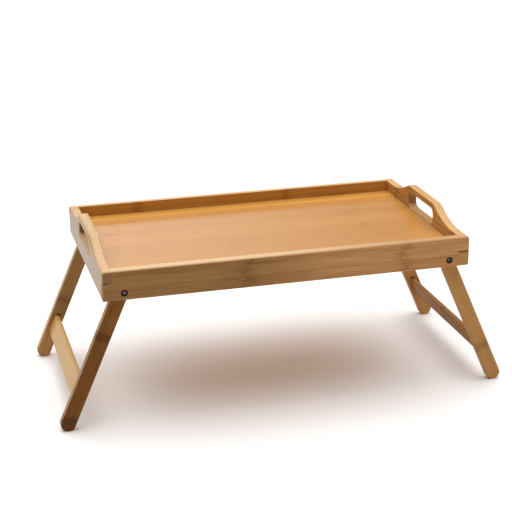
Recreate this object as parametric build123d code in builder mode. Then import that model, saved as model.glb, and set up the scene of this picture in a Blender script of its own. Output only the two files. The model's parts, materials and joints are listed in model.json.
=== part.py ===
from build123d import *
import os
from math import acos, atan2, cos, degrees, hypot, radians, sin, sqrt

# Folding tray table of laminated bamboo.
# +X runs along the tray's length, to the right. +Y runs to the back.
# +Z is up. The origin is on the floor, under the middle of the tray.
# Every dimension is in millimetres, with both leg frames open.

# ---- tray ----
TRAY_LENGTH = 503.0       # outside of the two end boards
TRAY_DEPTH = 300.0        # outside of the two rails
BOARD = 12.0              # thickness of the rails
END_BOARD = 13.5          # thickness of the end boards
RAIL_HEIGHT = 41.0
TOP_ROUND = 4.0           # round-over along the outer top edges
TOP_INNER_ROUND = 1.6     # and along the inner ones
CORNER_ROUND = 2.5        # outer upright corners
BOTTOM_ROUND = 2.0        # outer bottom edges
EDGE_BREAK = 0.6          # inner bottom edges
LEFT_SEAM_DROP = 16.5     # rail top down to the level seam of the left finger joints
RIGHT_SEAM_DROP = 20.5    # and of the right ones

# ---- raised grips in the end boards ----
GRIP_RISE = 18.5          # top of the grip above the rails
GRIP_FLAT = 42.0          # half length of its level top
GRIP_SHOULDER_R = 25.0    # convex arc that leaves the level top
GRIP_SLOPE = 25.0         # degrees, steepest slope of the outline
GRIP_FOOT_R = 130.0       # concave arc that runs out on the board's top edge
HOLE_LENGTH = 94.0
HOLE_HEIGHT = 22.0
HOLE_CORNER_R = 8.5
HOLE_TOP_BELOW_GRIP = 10.0
HOLE_ROUND = 2.2          # round-over of the hand hole

# ---- floor panel, held in grooves by a tongue ----
PANEL_DROP = 15.8         # rail top down to the panel's top face
PANEL_THICKNESS = 4.0
TONGUE_STEP = 1.0         # panel's top face down to the tongue
TONGUE_THICKNESS = 2.5
TONGUE_DEPTH = 5.0
GROOVE_SPARE = 0.3        # room past the tongue's edge

# ---- legs ----
LEG_WIDTH = 20.0
LEG_THICKNESS = 11.8
LEG_EDGE_ROUND = 1.2
LEG_TO_FOOT = 197.6       # pivot to the centre of the foot's arc
FOOT_R = 10.5
PIVOT_FROM_END = 28.5     # pivot in from the tray's outer end
PIVOT_RISE = 9.7          # pivot above the rails' bottom edge
STOP_GAP = 0.05           # open leg to the end board's bottom edge
LEG_FLOAT = 0.1           # play on either side of a leg

# ---- stretchers between the front and rear legs ----
STRETCHER_WIDTH = 29.5    # measured along the leg
STRETCHER_THICKNESS = 8.0
STRETCHER_TOP = 140.0     # pivot to the stretcher's upper edge
STRETCHER_ROUND = 3.4     # its long edges are almost fully rounded
TENON = 8.0               # how far each end sits in its leg
MORTISE_SPARE = 2.4       # the mortise is this much longer, at its upper end

# ---- pivot hardware, M5 ----
SHANK_R = 2.5
RAIL_HOLE_R = 2.6
LEG_BORE_R = 2.57
HEAD_R = 4.5
HEAD_HEIGHT = 2.8
HEAD_SUNK = 0.5           # head below the rail's outer face
COUNTERBORE_R = 4.8
SOCKET_FLATS = 4.0
SOCKET_DEPTH = 1.8
SPACER_R = 7.0
SPACER_BORE_R = 2.65
SPACER_THICKNESS = 1.8
NUT_FLATS = 8.0
NUT_HEIGHT = 4.0
NUT_BORE_R = 2.52
SHANK_PAST_NUT = 1.0

# ---- derived geometry ----
half_length = TRAY_LENGTH / 2
half_depth = TRAY_DEPTH / 2
inner_x = half_length - END_BOARD
inner_y = half_depth - BOARD
pivot_x = half_length - PIVOT_FROM_END

# An open leg leans out until its outer edge meets the rounded inner bottom
# edge of the end board. The lean follows from where the pivot stands.
stop_dx = inner_x + EDGE_BREAK - pivot_x
stop_dz = PIVOT_RISE - EDGE_BREAK
stop_offset = LEG_WIDTH / 2 + EDGE_BREAK + STOP_GAP
lean = acos(stop_offset / hypot(stop_dx, stop_dz)) - atan2(stop_dz, stop_dx)

pivot_z = LEG_TO_FOOT * cos(lean) + FOOT_R
rail_bottom = pivot_z - PIVOT_RISE
rail_top = rail_bottom + RAIL_HEIGHT
grip_top = rail_top + GRIP_RISE
seam_z = {-1: rail_top - LEFT_SEAM_DROP, 1: rail_top - RIGHT_SEAM_DROP}
profile_base = rail_bottom + RAIL_HEIGHT / 2
panel_top = rail_top - PANEL_DROP
panel_bottom = panel_top - PANEL_THICKNESS
tongue_top = panel_top - TONGUE_STEP
tongue_bottom = tongue_top - TONGUE_THICKNESS
spacer_y = inner_y - SPACER_THICKNESS
leg_outer_y = spacer_y - LEG_FLOAT
leg_inner_y = leg_outer_y - LEG_THICKNESS
nut_y = leg_inner_y - LEG_FLOAT
hole_z = grip_top - HOLE_TOP_BELOW_GRIP - HOLE_HEIGHT / 2

os.makedirs("parts", exist_ok=True)


def save(piece, label):
    """Label a finished piece and write its STEP file."""
    piece.part.label = label
    export_step(piece.part, "parts/" + label + ".step")


# ---- the whole frame as one blank, shaped and sanded before it is divided ----
slope = radians(GRIP_SLOPE)
shoulder_y = GRIP_FLAT + GRIP_SHOULDER_R * sin(slope)
shoulder_z = grip_top - GRIP_SHOULDER_R * (1 - cos(slope))
foot_z = rail_top + GRIP_FOOT_R * (1 - cos(slope))
foot_y = shoulder_y + (shoulder_z - foot_z) * cos(slope) / sin(slope)
run_out_y = foot_y + GRIP_FOOT_R * sin(slope)
shoulder_mid = slope / 2
foot_mid_y = run_out_y - GRIP_FOOT_R * sin(slope / 2)
foot_mid_z = rail_top + GRIP_FOOT_R * (1 - cos(slope / 2))
shoulder_mid_y = GRIP_FLAT + GRIP_SHOULDER_R * sin(shoulder_mid)
shoulder_mid_z = grip_top - GRIP_SHOULDER_R * (1 - cos(shoulder_mid))

with BuildPart() as blank:
    with BuildSketch(Plane.XY.offset(rail_bottom)):
        Rectangle(TRAY_LENGTH, TRAY_DEPTH)
        Rectangle(2 * inner_x, 2 * inner_y, mode=Mode.SUBTRACT)
    extrude(amount=RAIL_HEIGHT)
    for end_x in (-half_length, inner_x):
        with BuildSketch(Plane.YZ.offset(end_x)):
            with BuildLine():
                Polyline((-run_out_y, rail_top), (-run_out_y, profile_base), (run_out_y, profile_base),
                         (run_out_y, rail_top))
                ThreePointArc((run_out_y, rail_top), (foot_mid_y, foot_mid_z), (foot_y, foot_z))
                Line((foot_y, foot_z), (shoulder_y, shoulder_z))
                ThreePointArc((shoulder_y, shoulder_z), (shoulder_mid_y, shoulder_mid_z),
                              (GRIP_FLAT, grip_top))
                Line((GRIP_FLAT, grip_top), (-GRIP_FLAT, grip_top))
                ThreePointArc((-GRIP_FLAT, grip_top), (-shoulder_mid_y, shoulder_mid_z),
                              (-shoulder_y, shoulder_z))
                Line((-shoulder_y, shoulder_z), (-foot_y, foot_z))
                ThreePointArc((-foot_y, foot_z), (-foot_mid_y, foot_mid_z), (-run_out_y, rail_top))
            make_face()
        extrude(amount=END_BOARD)
    with BuildSketch(Plane.YZ.offset(-half_length)):
        with Locations((0, hole_z)):
            RectangleRounded(HOLE_LENGTH, HOLE_HEIGHT, HOLE_CORNER_R)
    extrude(amount=TRAY_LENGTH, mode=Mode.SUBTRACT)

    uprights = blank.edges().filter_by(Axis.Z)
    outer_uprights = uprights.filter_by(lambda e: abs(e.center().X) > half_length - 1
                                        and abs(e.center().Y) > half_depth - 1)
    fillet(outer_uprights, CORNER_ROUND)

    # the outer top edges run over the rounded uprights; the inner ones stop in the corners
    for reach_x, reach_y, radius in ((half_length, half_depth, TOP_ROUND),
                                     (inner_x, inner_y, TOP_INNER_ROUND)):
        top_edges = blank.edges().filter_by(lambda e: e.bounding_box().min.Z > rail_top - 0.01
                                            and abs(e.center().Z - hole_z) > HOLE_HEIGHT / 2 + 1)
        outline = top_edges.filter_by(lambda e: abs(abs(e.center().X) - reach_x) < CORNER_ROUND / 2
                                      and abs(e.center().Y) < reach_y + 0.01
                                      or abs(abs(e.center().Y) - reach_y) < CORNER_ROUND / 2
                                      and abs(e.center().X) < reach_x + 0.01)
        fillet(outline, radius)

    hole_edges = blank.edges().filter_by(lambda e: abs(e.center().Z - hole_z) < HOLE_HEIGHT / 2 + 0.1
                                         and abs(e.center().Y) < HOLE_LENGTH / 2 + 0.1
                                         and e.bounding_box().size.X < 0.01)
    fillet(hole_edges, HOLE_ROUND)

    bottom_edges = blank.edges().filter_by(lambda e: e.bounding_box().max.Z < rail_bottom + 0.01)
    outside = bottom_edges.filter_by(lambda e: abs(e.center().X) > inner_x + 1
                                     or abs(e.center().Y) > inner_y + 1)
    fillet(outside, BOTTOM_ROUND)
    bottom_edges = blank.edges().filter_by(lambda e: e.bounding_box().max.Z < rail_bottom + 0.01)
    inside = bottom_edges.filter_by(lambda e: abs(e.center().X) < inner_x + 0.1
                                    and abs(e.center().Y) < inner_y + 0.1)
    fillet(inside, EDGE_BREAK)

    # grooves for the panel's tongue, stopped at the corners
    with BuildSketch(Plane.XY.offset(tongue_bottom)):
        Rectangle(2 * (inner_x + TONGUE_DEPTH + GROOVE_SPARE), 2 * inner_y)
        Rectangle(2 * inner_x, 2 * (inner_y + TONGUE_DEPTH + GROOVE_SPARE))
    extrude(amount=TONGUE_THICKNESS, mode=Mode.SUBTRACT)

    # pivot holes with their counterbores, through both rails
    for side in (-1, 1):
        with BuildSketch(Plane.XZ.offset(-half_depth)):
            with Locations((side * pivot_x, pivot_z)):
                Circle(RAIL_HOLE_R)
        extrude(amount=TRAY_DEPTH, mode=Mode.SUBTRACT)
        for face_y, inward in ((-half_depth, 1), (half_depth, -1)):
            with BuildSketch(Plane((side * pivot_x, face_y, pivot_z), z_dir=(0, inward, 0))):
                Circle(COUNTERBORE_R)
            extrude(amount=HEAD_SUNK + HEAD_HEIGHT, mode=Mode.SUBTRACT)


def rail_stock(face_y):
    """A rail's share of the blank: one lower finger and one upper finger."""
    turn = -1 if face_y < 0 else 1
    mid_y = face_y - turn * BOARD / 2
    with BuildPart() as stock:
        with Locations((0, mid_y, rail_bottom + RAIL_HEIGHT / 2)):
            Box(2 * inner_x, BOARD, RAIL_HEIGHT)
        with Locations((turn * (inner_x + END_BOARD / 2), mid_y, (rail_bottom + seam_z[turn]) / 2)):
            Box(END_BOARD, BOARD, seam_z[turn] - rail_bottom)
        with Locations((-turn * (inner_x + END_BOARD / 2), mid_y, (seam_z[-turn] + rail_top) / 2)):
            Box(END_BOARD, BOARD, rail_top - seam_z[-turn])
    return stock


def end_stock(face_x):
    """An end board's share of the blank, with the fingers that fill in the rails'."""
    turn = -1 if face_x < 0 else 1
    mid_x = face_x - turn * END_BOARD / 2
    with BuildPart() as stock:
        with Locations((mid_x, 0, (rail_bottom + grip_top) / 2)):
            Box(END_BOARD, 2 * inner_y, grip_top - rail_bottom)
        with Locations((mid_x, turn * (inner_y + BOARD / 2), (seam_z[turn] + rail_top) / 2)):
            Box(END_BOARD, BOARD, rail_top - seam_z[turn])
        with Locations((mid_x, -turn * (inner_y + BOARD / 2), (rail_bottom + seam_z[turn]) / 2)):
            Box(END_BOARD, BOARD, seam_z[turn] - rail_bottom)
    return stock


front_stock = rail_stock(-half_depth)
rear_stock = rail_stock(half_depth)
left_stock = end_stock(-half_length)
right_stock = end_stock(half_length)

with BuildPart() as front_rail:
    add(blank.part)
    add(front_stock.part, mode=Mode.INTERSECT)
save(front_rail, "front_rail")

with BuildPart() as rear_rail:
    add(blank.part)
    add(rear_stock.part, mode=Mode.INTERSECT)
save(rear_rail, "rear_rail")

with BuildPart() as left_end_board:
    add(blank.part)
    add(left_stock.part, mode=Mode.INTERSECT)
save(left_end_board, "left_end_board")

with BuildPart() as right_end_board:
    add(blank.part)
    add(right_stock.part, mode=Mode.INTERSECT)
save(right_end_board, "right_end_board")

# ---- floor panel: a full-thickness field with a thinner tongue on each side ----
with BuildPart() as tray_panel:
    with BuildSketch(Plane.XY.offset(panel_bottom)):
        Rectangle(2 * inner_x, 2 * inner_y)
    extrude(amount=PANEL_THICKNESS)
    with BuildSketch(Plane.XY.offset(tongue_bottom)):
        Rectangle(2 * (inner_x + TONGUE_DEPTH), 2 * inner_y)
        Rectangle(2 * inner_x, 2 * (inner_y + TONGUE_DEPTH))
    extrude(amount=TONGUE_THICKNESS)
save(tray_panel, "tray_panel")


# ---- leg frames ----
def leg_plane(side, y):
    """Plane at a pivot, seen from the front, whose -Y runs down the open leg."""
    return Plane((side * pivot_x, y, pivot_z), x_dir=(cos(lean), 0, side * sin(lean)),
                 z_dir=(0, -1, 0))


def make_leg(side, row):
    """One leg: side -1 is left, row -1 is front."""
    front_face = -leg_outer_y if row < 0 else leg_inner_y
    half = LEG_WIDTH / 2
    foot_edge = LEG_TO_FOOT + sqrt(FOOT_R ** 2 - half ** 2)
    mortise_length = STRETCHER_WIDTH + MORTISE_SPARE
    mortise_mid = STRETCHER_TOP - MORTISE_SPARE + mortise_length / 2
    with BuildPart() as leg:
        with BuildSketch(leg_plane(side, front_face)):
            with BuildLine():
                Line((-half, 0), (-half, -foot_edge))
                ThreePointArc((-half, -foot_edge), (0, -LEG_TO_FOOT - FOOT_R), (half, -foot_edge))
                Line((half, -foot_edge), (half, 0))
                ThreePointArc((half, 0), (0, half), (-half, 0))
            make_face()
        extrude(amount=-LEG_THICKNESS)
        fillet(leg.edges().filter_by(lambda e: e.bounding_box().size.Y < 0.01), LEG_EDGE_ROUND)
        with BuildSketch(leg_plane(side, front_face)):
            Circle(LEG_BORE_R)
        extrude(amount=-LEG_THICKNESS, mode=Mode.SUBTRACT)
        with BuildSketch(leg_plane(side, row * leg_inner_y)):
            with Locations((0, -mortise_mid)):
                RectangleRounded(STRETCHER_THICKNESS, mortise_length, STRETCHER_ROUND)
        extrude(amount=-row * TENON, mode=Mode.SUBTRACT)
    return leg


def make_stretcher(side):
    """The board that ties a front leg to a rear leg."""
    reach = leg_inner_y + TENON
    with BuildPart() as stretcher:
        with BuildSketch(leg_plane(side, -reach)):
            with Locations((0, -STRETCHER_TOP - STRETCHER_WIDTH / 2)):
                RectangleRounded(STRETCHER_THICKNESS, STRETCHER_WIDTH, STRETCHER_ROUND)
        extrude(amount=-2 * reach)
    return stretcher


front_left_leg = make_leg(-1, -1)
save(front_left_leg, "front_left_leg")
rear_left_leg = make_leg(-1, 1)
save(rear_left_leg, "rear_left_leg")
left_stretcher = make_stretcher(-1)
save(left_stretcher, "left_stretcher")

front_right_leg = make_leg(1, -1)
save(front_right_leg, "front_right_leg")
rear_right_leg = make_leg(1, 1)
save(rear_right_leg, "rear_right_leg")
right_stretcher = make_stretcher(1)
save(right_stretcher, "right_stretcher")


# ---- pivot hardware ----
def hardware_plane(side, row, y):
    """Plane at a pivot, a distance y from the middle, facing the inside of the tray."""
    return Plane((side * pivot_x, row * y, pivot_z), x_dir=(1, 0, 0), z_dir=(0, -row, 0))


def make_bolt(side, row):
    """Socket-head bolt, its head sunk in the rail."""
    head_y = half_depth - HEAD_SUNK
    shank_length = head_y - HEAD_HEIGHT - nut_y + NUT_HEIGHT + SHANK_PAST_NUT
    with BuildPart() as bolt:
        with BuildSketch(hardware_plane(side, row, head_y)):
            Circle(HEAD_R)
        extrude(amount=HEAD_HEIGHT)
        fillet(bolt.edges().sort_by(Axis.Y)[0 if row < 0 else -1], 0.6)
        with BuildSketch(hardware_plane(side, row, head_y)):
            RegularPolygon(SOCKET_FLATS / 2, 6, major_radius=False)
        extrude(amount=SOCKET_DEPTH, mode=Mode.SUBTRACT)
        with BuildSketch(hardware_plane(side, row, head_y - HEAD_HEIGHT)):
            Circle(SHANK_R)
        extrude(amount=shank_length)
        chamfer(bolt.edges().sort_by(Axis.Y)[-1 if row < 0 else 0], 0.5)
    return bolt


def make_spacer(side, row):
    """Flat washer that keeps the leg off the rail."""
    with BuildPart() as spacer:
        with BuildSketch(hardware_plane(side, row, inner_y)):
            Circle(SPACER_R)
            Circle(SPACER_BORE_R, mode=Mode.SUBTRACT)
        extrude(amount=SPACER_THICKNESS)
    return spacer


def make_nut(side, row):
    """Hexagon nut on the inner face of the leg, its outer rims chamfered."""
    with BuildPart() as nut:
        with BuildSketch(hardware_plane(side, row, nut_y)):
            RegularPolygon(NUT_FLATS / 2, 6, major_radius=False)
        extrude(amount=NUT_HEIGHT)
        with BuildSketch(hardware_plane(side, row, nut_y)):
            Circle(NUT_FLATS / 2 * 1.1)
        extrude(amount=NUT_HEIGHT, mode=Mode.INTERSECT)
        with BuildSketch(hardware_plane(side, row, nut_y)):
            Circle(NUT_BORE_R)
        extrude(amount=NUT_HEIGHT, mode=Mode.SUBTRACT)
    return nut


front_left_bolt = make_bolt(-1, -1)
save(front_left_bolt, "front_left_bolt")
front_right_bolt = make_bolt(1, -1)
save(front_right_bolt, "front_right_bolt")
rear_left_bolt = make_bolt(-1, 1)
save(rear_left_bolt, "rear_left_bolt")
rear_right_bolt = make_bolt(1, 1)
save(rear_right_bolt, "rear_right_bolt")

front_left_spacer = make_spacer(-1, -1)
save(front_left_spacer, "front_left_spacer")
front_right_spacer = make_spacer(1, -1)
save(front_right_spacer, "front_right_spacer")
rear_left_spacer = make_spacer(-1, 1)
save(rear_left_spacer, "rear_left_spacer")
rear_right_spacer = make_spacer(1, 1)
save(rear_right_spacer, "rear_right_spacer")

front_left_nut = make_nut(-1, -1)
save(front_left_nut, "front_left_nut")
front_right_nut = make_nut(1, -1)
save(front_right_nut, "front_right_nut")
rear_left_nut = make_nut(-1, 1)
save(rear_left_nut, "rear_left_nut")
rear_right_nut = make_nut(1, 1)
save(rear_right_nut, "rear_right_nut")

print("lean of an open leg, degrees:", round(degrees(lean), 3))
print("pivot height:", round(pivot_z, 3), "rail bottom:", round(rail_bottom, 3))
print("rail top:", round(rail_top, 3), "grip top:", round(grip_top, 3))
print("panel top:", round(panel_top, 3), "panel bottom:", round(panel_bottom, 3))
print("folded legs' top:", round(pivot_z + LEG_WIDTH / 2, 3))
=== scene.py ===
"""Looks of the folding tray table: laminated bamboo boards, black pivot bolts, studio."""
import json
import math

import bpy
from mathutils import Matrix, Vector


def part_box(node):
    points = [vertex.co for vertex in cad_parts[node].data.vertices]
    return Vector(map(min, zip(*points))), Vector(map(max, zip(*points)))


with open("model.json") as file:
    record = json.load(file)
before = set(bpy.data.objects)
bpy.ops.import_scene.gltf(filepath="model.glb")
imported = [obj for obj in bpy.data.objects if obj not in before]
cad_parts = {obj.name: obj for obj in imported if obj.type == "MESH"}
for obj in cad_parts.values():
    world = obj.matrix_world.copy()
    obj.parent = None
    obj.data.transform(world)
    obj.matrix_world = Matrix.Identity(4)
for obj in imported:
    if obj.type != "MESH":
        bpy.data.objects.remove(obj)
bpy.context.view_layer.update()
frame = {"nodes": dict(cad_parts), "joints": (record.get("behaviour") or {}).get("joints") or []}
nodes = frame["nodes"]


# ---------------------------------------------------------------- node helpers
class Graph:
    """Short calls for building a node tree."""

    def __init__(self, tree):
        self.tree = tree
        self.tree.nodes.clear()

    def new(self, kind, **values):
        node = self.tree.nodes.new(kind)
        for key, value in values.items():
            setattr(node, key, value)
        return node

    def link(self, source, target):
        self.tree.links.new(source, target)

    def feed(self, socket, value):
        if value is None:
            return
        if hasattr(value, "is_output"):
            self.link(value, socket)
        else:
            socket.default_value = value

    def math(self, op, a, b=None, c=None, clamp=False):
        node = self.new("ShaderNodeMath", operation=op, use_clamp=clamp)
        self.feed(node.inputs[0], a)
        self.feed(node.inputs[1], b)
        self.feed(node.inputs[2], c)
        return node.outputs[0]

    def add(self, a, b):
        return self.math("ADD", a, b)

    def sub(self, a, b):
        return self.math("SUBTRACT", a, b)

    def mul(self, a, b):
        return self.math("MULTIPLY", a, b)

    def vector(self, x, y, z):
        node = self.new("ShaderNodeCombineXYZ")
        for socket, value in zip(node.inputs, (x, y, z)):
            self.feed(socket, value)
        return node.outputs[0]

    def split(self, vector):
        node = self.new("ShaderNodeSeparateXYZ")
        self.link(vector, node.inputs[0])
        return node.outputs

    def noise(self, vector, scale=1.0, detail=2.0, rough=0.5):
        node = self.new("ShaderNodeTexNoise", noise_dimensions="3D")
        self.link(vector, node.inputs["Vector"])
        node.inputs["Scale"].default_value = scale
        node.inputs["Detail"].default_value = detail
        node.inputs["Roughness"].default_value = rough
        return node.outputs["Fac"]

    def random(self, value, seed):
        node = self.new("ShaderNodeTexWhiteNoise", noise_dimensions="2D")
        self.link(self.vector(value, seed, 0.0), node.inputs["Vector"])
        return node.outputs["Value"]

    def ramp(self, value, low, high, to_low=0.0, to_high=1.0):
        node = self.new("ShaderNodeMapRange", interpolation_type="SMOOTHSTEP")
        self.feed(node.inputs["Value"], value)
        node.inputs["From Min"].default_value = low
        node.inputs["From Max"].default_value = high
        node.inputs["To Min"].default_value = to_low
        node.inputs["To Max"].default_value = to_high
        return node.outputs["Result"]

    def mix(self, factor, a, b, blend="MIX"):
        node = self.new("ShaderNodeMix", data_type="RGBA", blend_type=blend, clamp_result=False)
        self.feed(node.inputs["Factor"], factor)
        self.feed(node.inputs[6], a)
        self.feed(node.inputs[7], b)
        return node.outputs[2]


def srgb(r, g, b):
    """Linear colour from 0-255 display values."""
    def one(v):
        v /= 255
        return v / 12.92 if v <= 0.04045 else ((v + 0.055) / 1.055) ** 2.4
    return (one(r), one(g), one(b), 1.0)


# ---------------------------------------------------------------- bamboo
SPECULAR_LEVEL = 0.15
EDGE_LIGHT = 0.25         # how much paler the sanded edges are
NODE_TINT = (0.62, 0.50, 0.40, 1.0)
GLUE_TINT = (0.36, 0.24, 0.14, 1.0)
# tint of the painted shade in the mortise gaps
HOLE_SHADE_TINT = (0.22, 0.13, 0.08, 1.0)


def bamboo(name, grain, across, light, dark, nodes_at, origin, seed, strip=14.0, jitter=3.0,
           node_depth=0.5, node_reach=11.0, node_shade=0.30, strip_contrast=0.14, fibre=0.30,
           cloud=0.30, rough=0.42, coat=0.0, coat_rough=0.2, end_depth=0.8, end_tint=None,
           tone_and_shade_fade=None, painted_top_highlight=None, painted_side_sheen=None, bands=(), blocks=(), seams=(), painted_shade_holes=()):
    """Laminated bamboo, built from strips that lie along grain and are stacked along across.

    grain and across are unit vectors in the frame, with the legs open. light and dark are the
    two ends of the wood's tone. nodes_at gives the growth nodes' distances in mm from origin,
    a point in metres, along the grain. Lengths below are in mm, and tints multiply the colour.

    strip: a strip's width. jitter: how far a strip's nodes may stray.
    node_reach: half width of a node. node_depth, node_shade: its flecks' and its shade's weight.
    end_tint: tint of the end grain.
    fade: (from, to, tint) along the grain, the tint full before the first distance and gone
    after the second. It spares the upward faces and the end grain. On the front rail and the
    left end board it is painted shade; on the legs it is a tone step in the wood.
    painted_top_highlight: (amount, colour) of a painted highlight on the upward faces, and if more
    follows (from, to) along the grain, between which the amount falls off.
    painted_side_sheen: (amount, colour) of a painted sheen on the narrow faces, standing in for the
    floor's reflection.
    bands: (from, to, tint) across the strips.
    blocks: (from, to, lowest distance across, tint) along the grain.
    seams, sockets: boxes, as low and high corners. A seam holds a dark glue line; a socket box
    holds painted shade in a mortise's gap.
    """
    mat = bpy.data.materials.new(name)
    mat.use_nodes = True
    g = Graph(mat.node_tree)
    coord = g.new("ShaderNodeTexCoord")
    third = Vector(grain).cross(Vector(across))

    def along(axis, source):
        node = g.new("ShaderNodeVectorMath", operation="DOT_PRODUCT")
        g.link(source, node.inputs[0])
        node.inputs[1].default_value = axis
        return node.outputs["Value"]

    start = 1000.0 * Vector(grain).dot(Vector(origin))
    u = g.sub(g.mul(along(grain, coord.outputs["Object"]), 1000.0), start)
    v = g.mul(along(across, coord.outputs["Object"]), 1000.0)
    w = g.mul(along(third, coord.outputs["Object"]), 1000.0)
    nu = g.math("ABSOLUTE", along(grain, coord.outputs["Normal"]))
    nv = g.math("ABSOLUTE", along(across, coord.outputs["Normal"]))
    nw = g.math("ABSOLUTE", along(third, coord.outputs["Normal"]))

    # strips: each has its own tone and its own small shift of the growth nodes
    v_strip = g.mul(g.add(v, seed), 1.0 / strip)
    index = g.math("FLOOR", v_strip)
    in_strip = g.math("FRACT", v_strip)
    tone = g.random(index, seed)
    tone_b = g.random(index, seed + 7.3)
    slide = g.mul(g.sub(g.random(index, seed + 3.1), 0.5), 2.0 * jitter)
    glue = g.ramp(g.math("ABSOLUTE", g.sub(in_strip, 0.5)), 0.5 - 0.25 / strip, 0.5)

    # distance along the grain from the nearest growth node
    wobble = g.noise(g.vector(g.mul(u, 0.05), g.mul(v, 0.30), g.mul(w, 0.30)), detail=2.0)
    place = g.add(g.add(u, slide), g.mul(g.sub(wobble, 0.5), 8.0))
    from_node = None
    for at in nodes_at:
        gap = g.math("ABSOLUTE", g.sub(place, at))
        from_node = gap if from_node is None else g.math("MINIMUM", from_node, gap)
    node_zone = g.ramp(from_node, 2.0, node_reach, 1.0, 0.0)
    node_core = g.ramp(from_node, 0.4, 1.8, 1.0, 0.0)

    # fibres swing sideways where they pass a node
    swing = g.mul(g.mul(g.sub(wobble, 0.5), node_zone), 5.0)
    vf = g.add(g.add(v, swing), g.mul(tone_b, 37.0))
    fine = g.noise(g.vector(g.mul(u, 0.030), g.mul(vf, 2.1), g.mul(w, 2.1)), detail=5.0, rough=0.65)
    broad = g.noise(g.vector(g.mul(u, 0.008), g.mul(vf, 0.50), g.mul(w, 0.50)), detail=3.0)
    bundle = g.noise(g.vector(g.mul(u, 0.016), g.mul(vf, 1.0), g.mul(w, 1.0)), detail=2.0)
    bundle_line = g.ramp(bundle, 0.56, 0.68)
    fleck = g.noise(g.vector(g.mul(u, 0.42), g.mul(vf, 0.85), g.mul(w, 0.85)),
                    detail=4.0, rough=0.6)
    fleck_mark = g.mul(g.ramp(fleck, 0.48, 0.60), node_zone)
    drift = g.noise(g.vector(g.mul(u, 0.010), g.mul(v, 0.03), g.mul(w, 0.03)), detail=2.0)

    level = g.add(g.mul(g.sub(tone, 0.5), 2.0 * strip_contrast), 0.5)
    level = g.add(level, g.mul(g.sub(fine, 0.5), 4.0 * fibre))
    level = g.add(level, g.mul(g.sub(broad, 0.5), 5.0 * fibre))
    level = g.math("ADD", level, g.mul(g.sub(drift, 0.5), 2.0 * cloud), clamp=True)
    colour = g.mix(level, light, dark)

    def stain(amount, tint, colour):
        return g.mix(amount, colour, g.mix(1.0, colour, tint, "MULTIPLY"))

    colour = stain(g.mul(tone_b, 0.4), (1.05, 0.98, 0.86, 1.0), colour)
    colour = stain(g.mul(bundle_line, 2.0 * fibre), (0.74, 0.64, 0.52, 1.0), colour)
    colour = stain(g.mul(node_zone, node_shade), NODE_TINT, colour)
    colour = stain(g.mul(fleck_mark, node_depth), NODE_TINT, colour)
    colour = stain(g.mul(node_core, 0.5 * node_depth), NODE_TINT, colour)
    colour = stain(g.mul(glue, 0.9 * strip_contrast), (0.62, 0.50, 0.38, 1.0), colour)
    upward = g.split(coord.outputs["Normal"])[2]
    # Painted highlight: upward faces are mixed towards a paler colour.
    if painted_top_highlight:
        amount = g.ramp(upward, 0.45, 0.95, 0.0, painted_top_highlight[0])
        if len(painted_top_highlight) > 2:
            amount = g.mul(amount, g.ramp(u, painted_top_highlight[2], painted_top_highlight[3], 1.0, 0.3))
        colour = g.mix(amount, colour, painted_top_highlight[1])
    # Painted sheen: the narrow faces are mixed towards a paler colour.
    if painted_side_sheen:
        colour = g.mix(g.ramp(nv, 0.6, 0.95, 0.0, painted_side_sheen[0]), colour, painted_side_sheen[1])
    for v_low, v_high, tint in bands:
        amount = g.mul(g.ramp(v, v_low - 1.5, v_low + 1.5),
                       g.ramp(v, v_high - 1.5, v_high + 1.5, 1.0, 0.0))
        colour = stain(amount, tint, colour)
    for u_low, u_high, v_low, tint in blocks:
        amount = g.mul(g.ramp(u, u_low - 0.7, u_low + 0.7),
                       g.ramp(u, u_high - 0.7, u_high + 0.7, 1.0, 0.0))
        amount = g.mul(amount, g.ramp(v, v_low - 0.6, v_low + 0.6))
        colour = stain(amount, tint, colour)
    # Painted shade on the front rail and the left end board (a tone step on the legs): faces that
    # do not face up are tinted, while upward faces and end grain are spared.
    if tone_and_shade_fade:
        amount = g.mul(g.ramp(u, tone_and_shade_fade[0], tone_and_shade_fade[1], 1.0, 0.0),
                       g.ramp(upward, 0.25, 0.8, 1.0, 0.0))
        amount = g.mul(amount, g.ramp(nu, 0.6, 0.9, 1.0, 0.0))
        colour = stain(amount, tone_and_shade_fade[2], colour)

    # end grain drinks more lacquer: darker, duller, dotted with vascular bundles
    end = g.ramp(nu, 0.72, 0.94)
    dots = g.noise(g.vector(g.mul(u, 0.1), g.mul(v, 1.1), g.mul(w, 1.1)), detail=3.0, rough=0.6)
    dot_tint = g.mix(g.ramp(dots, 0.44, 0.60), (0.86, 0.80, 0.74, 1.0), (0.50, 0.38, 0.28, 1.0))
    colour = stain(g.mul(end, end_depth), dot_tint, colour)
    if end_tint:
        colour = stain(end, end_tint, colour)

    # rounded edges are sanded a little lighter
    facing = g.math("MAXIMUM", g.math("MAXIMUM", nu, nv), nw)
    edge = g.ramp(facing, 0.80, 0.985, 1.0, 0.0)
    scuff = g.noise(g.vector(g.mul(u, 0.02), g.mul(v, 0.3), g.mul(w, 0.3)), detail=3.0)
    edge_amount = g.mul(g.mul(edge, g.ramp(scuff, 0.3, 0.7, 0.5, 1.0)), EDGE_LIGHT)
    colour = g.mix(edge_amount, colour, g.mix(0.6, colour, light))

    xyz = g.split(coord.outputs["Object"])
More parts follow.
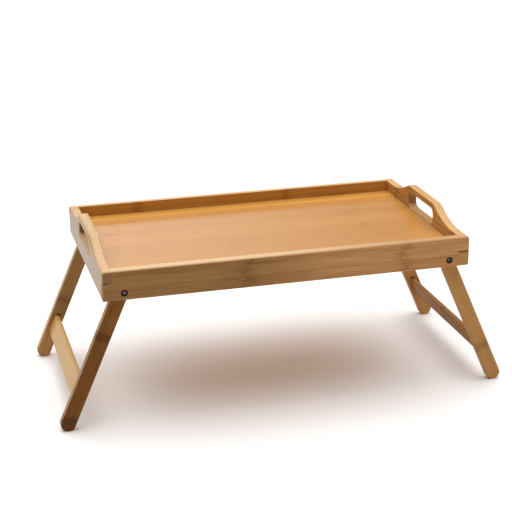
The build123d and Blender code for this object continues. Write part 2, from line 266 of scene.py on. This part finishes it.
    # Seam boxes get a dark glue line; the mortise boxes get painted shade that darkens the gap's
    # walls.
    for box_low, box_high, tint in ([(*box, GLUE_TINT) for box in seams]
                                    + [(*box, HOLE_SHADE_TINT) for box in painted_shade_holes]):
        inside = None
        for value, lo, hi in zip(xyz, box_low, box_high):
            mid, half = (lo + hi) / 2000.0, (hi - lo) / 2000.0
            part = g.ramp(g.math("ABSOLUTE", g.sub(value, mid)), 0.8 * half, half, 1.0, 0.0)
            inside = part if inside is None else g.mul(inside, part)
        colour = stain(inside, tint, colour)

    shader = g.new("ShaderNodeBsdfPrincipled")
    g.link(colour, shader.inputs["Base Color"])
    spread = g.add(g.mul(g.sub(fine, 0.5), 0.16), rough)
    g.link(g.add(spread, g.mul(end, 0.14)), shader.inputs["Roughness"])
    shader.inputs["IOR"].default_value = 1.5
    shader.inputs["Specular IOR Level"].default_value = SPECULAR_LEVEL
    shader.inputs["Coat Weight"].default_value = coat
    shader.inputs["Coat Roughness"].default_value = coat_rough
    shader.inputs["Coat IOR"].default_value = 1.5

    height = g.sub(g.mul(fine, 0.5), g.add(g.mul(glue, 0.4), g.mul(bundle_line, 0.25)))
    height = g.add(height, g.mul(node_core, 0.35))
    bump = g.new("ShaderNodeBump")
    bump.inputs["Strength"].default_value = 0.30
    bump.inputs["Distance"].default_value = 0.00010
    g.link(height, bump.inputs["Height"])
    g.link(bump.outputs[0], shader.inputs["Normal"])
    out = g.new("ShaderNodeOutputMaterial")
    g.link(shader.outputs[0], out.inputs["Surface"])
    return mat


# ---------------------------------------------------------------- metal
def metal(name, base, wear_and_highlight, rough, socket=None):
    """Turned or pressed steel with fine scratches and a little wear.

    socket is (axis |x|, axis z, radius) in metres: inside that radius the black finish gives way
    to the paler colour, a painted highlight on the hexagon socket.
    """
    mat = bpy.data.materials.new(name)
    mat.use_nodes = True
    g = Graph(mat.node_tree)
    coord = g.new("ShaderNodeTexCoord").outputs["Object"]
    grain = g.noise(coord, scale=900.0, detail=4.0, rough=0.6)
    patch = g.noise(coord, scale=260.0, detail=3.0)
    amount = g.ramp(patch, 0.46, 0.80)
    # Painted highlight: inside the socket radius the steel takes the paler colour.
    if socket:
        x, _, z = g.split(coord)
        dx = g.sub(g.math("ABSOLUTE", x), socket[0])
        dz = g.sub(z, socket[1])
        radius = g.math("SQRT", g.add(g.mul(dx, dx), g.mul(dz, dz)))
        socket_highlight = g.ramp(radius, 0.94 * socket[2], 1.04 * socket[2], 1.0, 0.0)
        amount = g.math("MAXIMUM", g.mul(amount, 0.35), socket_highlight)
    colour = g.mix(amount, base, wear_and_highlight)
    shader = g.new("ShaderNodeBsdfPrincipled")
    g.link(colour, shader.inputs["Base Color"])
    shader.inputs["Metallic"].default_value = 1.0
    g.link(g.add(g.mul(grain, 0.2), rough), shader.inputs["Roughness"])
    bump = g.new("ShaderNodeBump")
    bump.inputs["Strength"].default_value = 0.3
    bump.inputs["Distance"].default_value = 0.00005
    g.link(grain, bump.inputs["Height"])
    g.link(bump.outputs[0], shader.inputs["Normal"])
    out = g.new("ShaderNodeOutputMaterial")
    g.link(shader.outputs[0], out.inputs["Surface"])
    return mat


def dress(node, mat):
    """Give one material to every slot of a CAD node."""
    slots = nodes[node].data.materials
    if not slots:
        slots.append(mat)
    for i in range(len(slots)):
        slots[i] = mat


X, Y, Z = (1.0, 0.0, 0.0), (0.0, 1.0, 0.0), (0.0, 0.0, 1.0)
MIDDLE = (0.0, 0.0, 0.0)
joint = {j["child"]: j for j in frame["joints"]}
right_pivot = Vector(joint["right_leg_frame"]["pos_m"])
left_pivot = Vector(joint["left_leg_frame"]["pos_m"])
# The open legs' lean, from where the stretcher stands below the pivot.
low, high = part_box("right_stretcher")
stretcher_mid = (Vector(low) + Vector(high)) / 2
lean = math.atan2(stretcher_mid.x - right_pivot.x, right_pivot.z - stretcher_mid.z)
down_right = (math.sin(lean), 0.0, -math.cos(lean))
down_left = (-math.sin(lean), 0.0, -math.cos(lean))
out_right = (math.cos(lean), 0.0, math.sin(lean))
out_left = (-math.cos(lean), 0.0, math.sin(lean))
across_left = 1000 * left_pivot.dot(Vector(out_left))

# The level seams of the front finger joints, below the rail's top. The right one's dark line
# runs on past the joint.
LEFT_SEAM_DROP, RIGHT_SEAM_DROP = 16.5, 20.5
rail_low, rail_high = (Vector(c) * 1000 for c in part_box("front_rail"))
left_seam = ((rail_low.x + 1.0, rail_low.y - 1.0, rail_high.z - LEFT_SEAM_DROP - 1.0),
             (rail_low.x + 9.0, rail_low.y + 3.0, rail_high.z - LEFT_SEAM_DROP + 1.0))
right_seam = ((rail_high.x - 18.0, rail_low.y - 1.0, rail_high.z - RIGHT_SEAM_DROP - 1.4),
              (rail_high.x + 1.0, rail_low.y + 3.0, rail_high.z - RIGHT_SEAM_DROP + 1.4))

MORTISE_GAP = 0.1388      # metres from a pivot down to the gap above the stretcher's tenon
leg_inner = 1000 * abs(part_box("rear_left_leg")[0][1])


def mortise(pivot, down, row):
    """Box in mm round the gap in a leg's mortise, where painted shade darkens the walls. row is -1
    for a front leg.
    """
    mid = (Vector(pivot) + Vector(down) * MORTISE_GAP) * 1000
    inner = row * (leg_inner + 0.3)
    outer = row * (leg_inner + 9.0)
    return ((mid.x - 5.0, min(inner, outer), mid.z - 5.0),
            (mid.x + 5.0, max(inner, outer), mid.z + 5.0))


# Colour of the painted highlight on the upward faces.
TOP_HIGHLIGHT = srgb(220, 190, 150)
BEYOND = (900.0, 901.0)   # a fade that ends past the piece tints all of it

# Front rail: painted shade darkens the faces that do not face up towards the left end; a painted
# highlight on the upward faces is strongest at the left end.
dress("front_rail",
      bamboo("bamboo_front_rail", X, Z, srgb(202, 150, 98), srgb(160, 110, 62),
             (-62.0, 155.0), MIDDLE, 11.0, node_depth=0.65, end_depth=0.1,
             jitter=9.0, node_reach=16.0, node_shade=0.22,
             tone_and_shade_fade=(-80.0, 115.0, (0.60, 0.62, 0.54, 1.0)),
             painted_top_highlight=(0.8, TOP_HIGHLIGHT, -100.0, 240.0), seams=(right_seam, left_seam)))
# Rear rail: a painted highlight on the upward faces.
dress("rear_rail",
      bamboo("bamboo_rear_rail", X, Z, srgb(206, 148, 74), srgb(176, 118, 48),
             (-150.0, 78.0), MIDDLE, 23.0, painted_top_highlight=(0.6, TOP_HIGHLIGHT)))
# Left end board: painted shade darkens every face that does not face up, and a painted highlight
# lightens the upward faces.
dress("left_end_board",
      bamboo("bamboo_left_end", Y, Z, srgb(206, 164, 114), srgb(178, 134, 86),
             (-205.0, 128.0), MIDDLE, 31.0, node_depth=0.35, coat=0.35, coat_rough=0.3,
             end_tint=(0.50, 0.40, 0.31, 1.0), tone_and_shade_fade=(*BEYOND, (0.60, 0.62, 0.57, 1.0)),
             painted_top_highlight=(0.35, TOP_HIGHLIGHT), seams=(left_seam,)))
# Right end board: a painted highlight on the upward faces.
dress("right_end_board",
      bamboo("bamboo_right_end", Y, Z, srgb(214, 164, 92), srgb(166, 116, 52),
             (-122.0, 96.0), MIDDLE, 47.0, node_depth=0.45, fibre=0.42, end_depth=0.25,
             end_tint=(0.80, 0.83, 0.98, 1.0), painted_top_highlight=(0.35, TOP_HIGHLIGHT), seams=(right_seam,)))
# Panel: the band along the rear rail is painted light, brightened to stand in for the rear rail's
# golden reflection in the lacquer and to lift the rail's shade there.
dress("tray_panel",
      bamboo("bamboo_panel", X, Y, srgb(210, 152, 82), srgb(186, 127, 59),
             (-320.0, 40.0), MIDDLE, 5.0, strip=21.0, jitter=130.0, node_depth=0.15,
             node_shade=0.08, strip_contrast=0.20, fibre=0.2, cloud=0.2,
             rough=0.30, coat=1.0, coat_rough=0.11,
             bands=((112.0, 150.0, (1.16, 1.26, 1.20, 1.0)),)))
# Front left leg: a painted sheen on the narrow faces, and painted shade in the mortise gap.
dress("front_left_leg",
      bamboo("bamboo_front_left_leg", down_left, out_left, srgb(126, 78, 22), srgb(98, 57, 9),
             (190.0,), left_pivot, 61.0, strip=20.0, node_depth=0.5, node_reach=9.0,
             node_shade=0.4, tone_and_shade_fade=(42.0, 68.0, (1.28, 1.34, 1.30, 1.0)),
             blocks=((64.0, 75.5, across_left - 7.0, (0.66, 0.54, 0.30, 1.0)),
                     (188.0, 260.0, across_left - 12.0, (0.74, 0.72, 0.72, 1.0))),
             painted_side_sheen=(0.45, srgb(186, 150, 108)),
             painted_shade_holes=(mortise(left_pivot, down_left, -1),)))
# Rear left leg: a painted sheen on the narrow faces, and painted shade in the mortise gap.
dress("rear_left_leg",
      bamboo("bamboo_rear_left_leg", down_left, out_left, srgb(182, 136, 82), srgb(156, 112, 62),
             (117.0,), left_pivot, 67.0, strip=20.0,
             tone_and_shade_fade=(120.0, 175.0, (0.75, 0.76, 0.71, 1.0)),
             painted_side_sheen=(0.6, srgb(214, 186, 150)),
             painted_shade_holes=(mortise(left_pivot, down_left, 1),)))
# Front right leg: painted shade in the mortise gap.
dress("front_right_leg",
      bamboo("bamboo_front_right_leg", down_right, out_right,
             srgb(194, 144, 86), srgb(166, 118, 62),
             (150.0,), right_pivot, 71.0, strip=20.0, node_depth=0.8,
             painted_shade_holes=(mortise(right_pivot, down_right, -1),)))
# Rear right leg: painted shade in the mortise gap.
dress("rear_right_leg",
      bamboo("bamboo_rear_right_leg", down_right, out_right,
             srgb(192, 144, 88), srgb(164, 116, 60),
             (60.0,), right_pivot, 79.0, strip=20.0,
             painted_shade_holes=(mortise(right_pivot, down_right, 1),)))
# Left stretcher: the block at the rear end is a painted shadow, cast by the rear left leg.
dress("left_stretcher",
      bamboo("bamboo_left_stretcher", Y, down_left, srgb(207, 170, 113), srgb(190, 152, 97),
             (180.0,), MIDDLE, 83.0, strip=60.0, fibre=0.12,
             blocks=((101.0, 140.0, -900.0, (0.86, 0.74, 0.60, 1.0)),)))
dress("right_stretcher",
      bamboo("bamboo_right_stretcher", Y, down_right, srgb(168, 122, 76), srgb(136, 94, 54),
             (0.0,), MIDDLE, 89.0, strip=60.0, rough=0.6))

bolt_low, bolt_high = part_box("front_right_bolt")
bolt_x, bolt_z = (bolt_low[0] + bolt_high[0]) / 2, (bolt_low[2] + bolt_high[2]) / 2
SOCKET_R = 0.0024         # just outside the hexagon socket of the bolt's head
# The bolts' hexagon sockets get a painted highlight in the paler colour.
black_steel = metal("black_steel", srgb(7, 4, 3), srgb(112, 98, 92), 0.28,
                    (bolt_x, bolt_z, SOCKET_R))
zinc_steel = metal("zinc_steel", srgb(176, 176, 172), srgb(140, 138, 132), 0.30)
for corner in ("front_left", "front_right", "rear_left", "rear_right"):
    dress(corner + "_bolt", black_steel)
    dress(corner + "_nut", zinc_steel)
    dress(corner + "_spacer", zinc_steel)

# ---------------------------------------------------------------- floor
FLOOR = 12.0              # half its side, in metres
floor_mesh = bpy.data.meshes.new("studio_floor")
floor_mesh.from_pydata([(-FLOOR, -FLOOR, 0), (FLOOR, -FLOOR, 0),
                        (FLOOR, FLOOR, 0), (-FLOOR, FLOOR, 0)], [], [(0, 1, 2, 3)])
floor = bpy.data.objects.new("studio_floor", floor_mesh)
bpy.context.scene.collection.objects.link(floor)
floor_mat = bpy.data.materials.new("pale_floor")
floor_mat.use_nodes = True
fg = Graph(floor_mat.node_tree)
speck = fg.noise(fg.new("ShaderNodeTexCoord").outputs["Object"], scale=3.0, detail=2.0)
floor_shader = fg.new("ShaderNodeBsdfPrincipled")
fg.link(fg.mix(speck, (0.90, 0.90, 0.90, 1.0), (0.93, 0.93, 0.93, 1.0)),
        floor_shader.inputs["Base Color"])
floor_shader.inputs["Roughness"].default_value = 0.9
floor_shader.inputs["Specular IOR Level"].default_value = 0.2
floor_out = fg.new("ShaderNodeOutputMaterial")
fg.link(floor_shader.outputs[0], floor_out.inputs["Surface"])
floor_mesh.materials.append(floor_mat)

# ---------------------------------------------------------------- light
OVERHEAD, REAR_LEFT, BASE_GLOW = 2.25, 0.62, 0.12
world = bpy.data.worlds.new("studio")
bpy.context.scene.world = world
world.use_nodes = True
wg = Graph(world.node_tree)
direction = wg.new("ShaderNodeTexCoord").outputs["Generated"]


def toward(azimuth, elevation):
    """Unit vector: azimuth in degrees from straight back, to the right."""
    a, e = math.radians(azimuth), math.radians(elevation)
    return (math.sin(a) * math.cos(e), math.cos(a) * math.cos(e), math.sin(e))


def panel_light(aim, wide, tight, strength):
    """A round patch of light in the sky, full within tight degrees of aim, none past wide."""
    node = wg.new("ShaderNodeVectorMath", operation="DOT_PRODUCT")
    wg.link(direction, node.inputs[0])
    node.inputs[1].default_value = aim
    return wg.mul(wg.ramp(node.outputs["Value"], math.cos(math.radians(wide)),
                          math.cos(math.radians(tight))), strength)


glow = wg.add(panel_light(toward(0, 84), 62, 22, OVERHEAD), BASE_GLOW)
glow = wg.add(glow, panel_light(toward(-12, 20), 34, 16, REAR_LEFT))
background = wg.new("ShaderNodeBackground")
wg.link(wg.vector(glow, glow, glow), background.inputs["Color"])
world_out = wg.new("ShaderNodeOutputWorld")
wg.link(background.outputs[0], world_out.inputs["Surface"])


def softbox(name, place, target, size, power):
    """A round area light at place, facing target. size is its width in metres."""
    lamp = bpy.data.lights.new(name, "AREA")
    lamp.shape = "DISK"
    lamp.size = size
    lamp.energy = power
    obj = bpy.data.objects.new(name, lamp)
    bpy.context.scene.collection.objects.link(obj)
    obj.location = place
    obj.rotation_mode = "QUATERNION"
    obj.rotation_quaternion = (Vector(target) - Vector(place)).to_track_quat("-Z", "Y")


softbox("key_softbox", (0.1, 0.2, 2.4), (0, 0, 0.2), 1.8, 9.0)

# ---------------------------------------------------------------- camera
AZIMUTH, ELEVATION, ROLL = -14.923, 19.240, -0.538
DISTANCE = 1.98129
TARGET = Vector((-0.00866, 0.0, 0.17066))
FOCAL_PIXELS, PICTURE = 1396.28, 512.0      # focal length and picture width, in pixels
SENSOR = 36.0
az, el = math.radians(AZIMUTH), math.radians(ELEVATION)
back_dir = Vector((math.sin(az) * math.cos(el), -math.cos(az) * math.cos(el), math.sin(el)))
cam_data = bpy.data.cameras.new("camera")
cam_data.sensor_fit = "HORIZONTAL"
cam_data.sensor_width = SENSOR
cam_data.lens = SENSOR * FOCAL_PIXELS / PICTURE
cam_data.clip_end = 60.0
camera = bpy.data.objects.new("camera", cam_data)
bpy.context.scene.collection.objects.link(camera)
level = (-back_dir).to_track_quat("-Z", "Y").to_matrix().to_4x4()
camera.matrix_world = (Matrix.Translation(TARGET + back_dir * DISTANCE) @ level
                       @ Matrix.Rotation(math.radians(ROLL), 4, "Z"))
bpy.context.scene.camera = camera
bpy.context.scene.view_settings.view_transform = "Standard"
